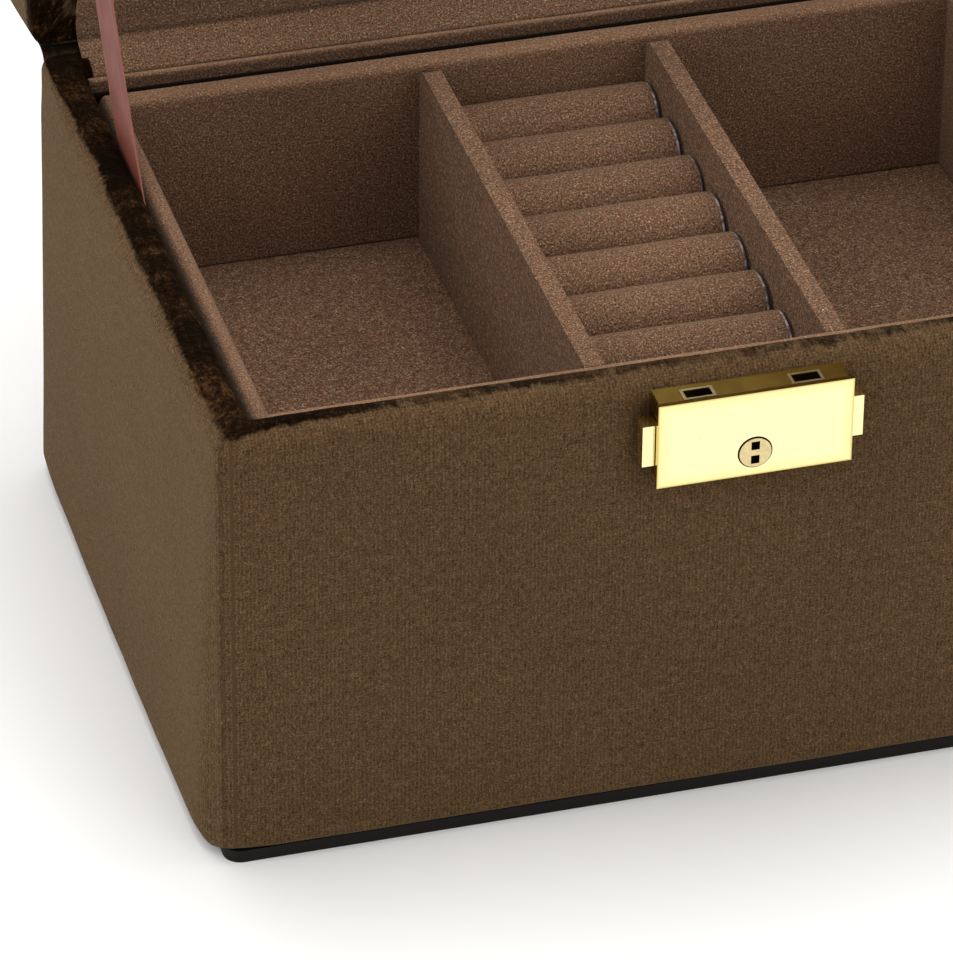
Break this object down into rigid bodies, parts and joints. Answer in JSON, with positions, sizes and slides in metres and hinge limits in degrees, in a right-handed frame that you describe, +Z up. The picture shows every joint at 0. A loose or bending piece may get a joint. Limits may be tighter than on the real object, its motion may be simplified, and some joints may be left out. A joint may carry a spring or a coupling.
{
  "type": "jewellery case",
  "caption": "Velvet-covered jewellery case with a hinged lid on ribbon stays, a lift-out divided tray with ring rolls, a mirror in the lid and a squeeze lock with a key plug.",
  "frame": {"origin": "centre of the underside of the sole", "axes": "+Z up, +X to the right along the length, -Y towards the lock side, +Y towards the hinges; the lid is open at rest"},
  "size_m": [0.24, 0.2456, 0.2963],
  "materials": {
    "velvet": "dark olive-brown velvet, short pile, almost black in the pile at the rims",
    "flock": "mauve-brown flocked lining, matt",
    "greyboard": "grey bookbinding board",
    "sole": "black covered sole board",
    "gold": "polished gold plate",
    "brass": "satin brass",
    "steel": "plain steel",
    "satin": "dusty pink satin ribbon",
    "mirror": "silvered glass"
  },
  "bodies": {
    "base": {"base_velvet_cover": "velvet", "well_floor_lining": "flock", "well_liner_front": "flock", "well_liner_back": "flock", "well_liner_left": "flock", "well_liner_right": "flock", "hinge_lining_strip": "flock", "bottom_board": "greyboard", "base_front_board": "greyboard", "base_back_board": "greyboard", "base_left_board": "greyboard", "base_right_board": "greyboard", "bottom_cover": "sole", "lock_front_plate": "gold", "lock_case": "gold", "hinge_base_leaf_left": "brass", "hinge_base_leaf_right": "brass", "hinge_pin_left": "steel", "hinge_pin_right": "steel", "lock_rivet_left": "steel", "lock_rivet_right": "steel", "lock_spring_left": "steel", "lock_spring_right": "steel", "ribbon_stay_left": "satin", "ribbon_stay_right": "satin", "hinge_fold_left": "velvet", "hinge_fold_right": "velvet"},
    "tray": {"tray_floor": "flock", "tray_wall_front": "flock", "tray_wall_back": "flock", "tray_wall_left": "flock", "tray_wall_right": "flock", "tray_divider_left": "flock", "tray_divider_right": "flock", "ring_roll_bed": "flock", "ring_roll_1": "flock", "ring_roll_2": "flock", "ring_roll_3": "flock", "ring_roll_4": "flock", "ring_roll_5": "flock", "ring_roll_6": "flock", "ring_roll_7": "flock", "ring_roll_8": "flock"},
    "lid": {"lid_velvet_cover": "velvet", "lid_lining": "flock", "lid_pad_frame": "flock", "lid_top_board": "greyboard", "lid_front_board": "greyboard", "lid_back_board": "greyboard", "lid_left_board": "greyboard", "lid_right_board": "greyboard", "lid_strike_plate": "gold", "hinge_lid_leaf_left": "brass", "hinge_lid_leaf_right": "brass", "lid_mirror": "mirror"},
    "lock_slider_left": {"lock_slider_left": "gold"},
    "lock_slider_right": {"lock_slider_right": "gold"},
    "lock_plug": {"lock_plug": "gold"}
  },
  "joints": [
    {"name": "lid_hinge", "type": "hinge", "parent": "base", "child": "lid", "pos_m": [0, 0.0882, 0.1155], "axis": [1, 0, 0], "range_deg": [0, 98], "deforming": ["ribbon_stay_left", "ribbon_stay_right", "hinge_lining_strip", "hinge_fold_left", "hinge_fold_right"]},
    {"name": "tray_lift", "type": "slide", "parent": "base", "child": "tray", "axis": [0, 0, 1], "range_m": [0, 0.026]},
    {"name": "lock_press_left", "type": "slide", "parent": "base", "child": "lock_slider_left", "axis": [1, 0, 0], "range_m": [0, 0.002], "stiffness_N_per_m": 300, "deforming": ["lock_spring_left"]},
    {"name": "lock_press_right", "type": "slide", "parent": "base", "child": "lock_slider_right", "axis": [-1, 0, 0], "range_m": [0, 0.002], "stiffness_N_per_m": 300, "deforming": ["lock_spring_right"]},
    {"name": "key_turn", "type": "hinge", "parent": "base", "child": "lock_plug", "pos_m": [0.0014, -0.0934, 0.0974], "axis": [0, -1, 0], "range_deg": [0, 90]}
  ]
}
